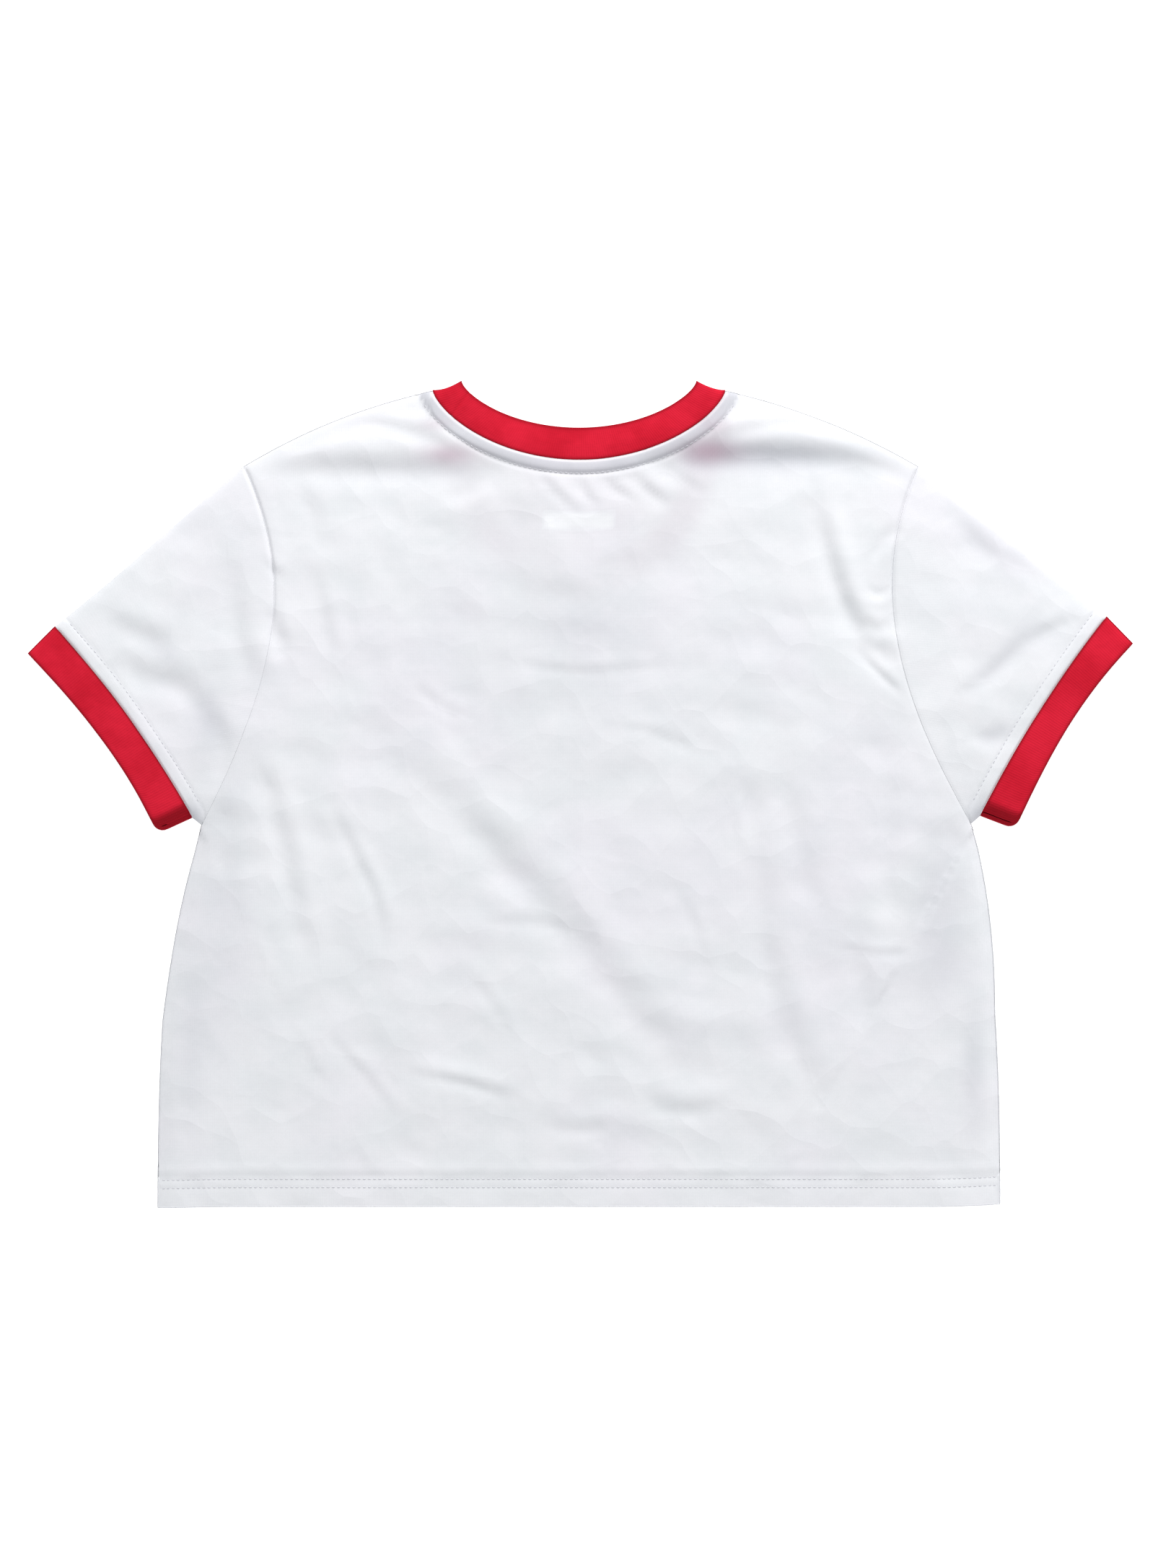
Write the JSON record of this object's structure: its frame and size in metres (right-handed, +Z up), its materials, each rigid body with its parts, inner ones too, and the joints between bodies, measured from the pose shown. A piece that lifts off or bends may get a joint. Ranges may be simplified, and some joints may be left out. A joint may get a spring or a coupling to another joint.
{
  "type": "cheer t-shirt",
  "caption": "Cropped short-sleeved knit ringer T-shirt lying flat, back side up, with rib neckband and cuffs and sleeves that fold over the back.",
  "frame": {"origin": "centre of the shirt's outline, on the surface that it lies on", "axes": "+X to the wearer's right, +Y from the hem towards the neck, +Z up through the back of the shirt"},
  "size_m": [0.6648, 0.496, 0.0111],
  "materials": {
    "white_jersey": "fine white cotton jersey knit, matte, slightly see-through",
    "red_rib": "red 1x1 rib knit, matte",
    "white_thread": "white spun polyester sewing thread",
    "label_satin": "blank white satin label ribbon"
  },
  "bodies": {
    "torso": {"front_panel": "white_jersey", "back_panel": "white_jersey", "neckband": "red_rib", "neck_tape": "white_thread", "front_neck_seam": "white_thread", "neck_topstitch": "white_thread", "neck_label": "label_satin", "care_label": "label_satin", "back_hem_stitch_upper": "white_thread", "back_hem_stitch_lower": "white_thread", "front_hem_stitch": "white_thread", "left_shoulder_seam": "white_thread", "left_side_seam": "white_thread", "left_armhole_seam": "white_thread", "left_sleeve_cap": "white_jersey", "right_shoulder_seam": "white_thread", "right_side_seam": "white_thread", "right_armhole_seam": "white_thread", "right_sleeve_cap": "white_jersey"},
    "left_sleeve": {"left_sleeve": "white_jersey", "left_underarm_seam": "white_thread", "left_cuff_seam": "white_thread", "left_cuff_topstitch": "white_thread", "left_cuff": "red_rib"},
    "right_sleeve": {"right_sleeve": "white_jersey", "right_underarm_seam": "white_thread", "right_cuff_seam": "white_thread", "right_cuff_topstitch": "white_thread", "right_cuff": "red_rib"}
  },
  "joints": [
    {"name": "left_sleeve_fold", "type": "hinge", "parent": "torso", "child": "left_sleeve", "pos_m": [-0.22148, 0.08791, 0.012], "axis": [0.1176, 0.9931, 0], "range_deg": [0, 180]},
    {"name": "right_sleeve_fold", "type": "hinge", "parent": "torso", "child": "right_sleeve", "pos_m": [0.22148, 0.08791, 0.012], "axis": [0.1176, -0.9931, 0], "range_deg": [0, 180]}
  ]
}
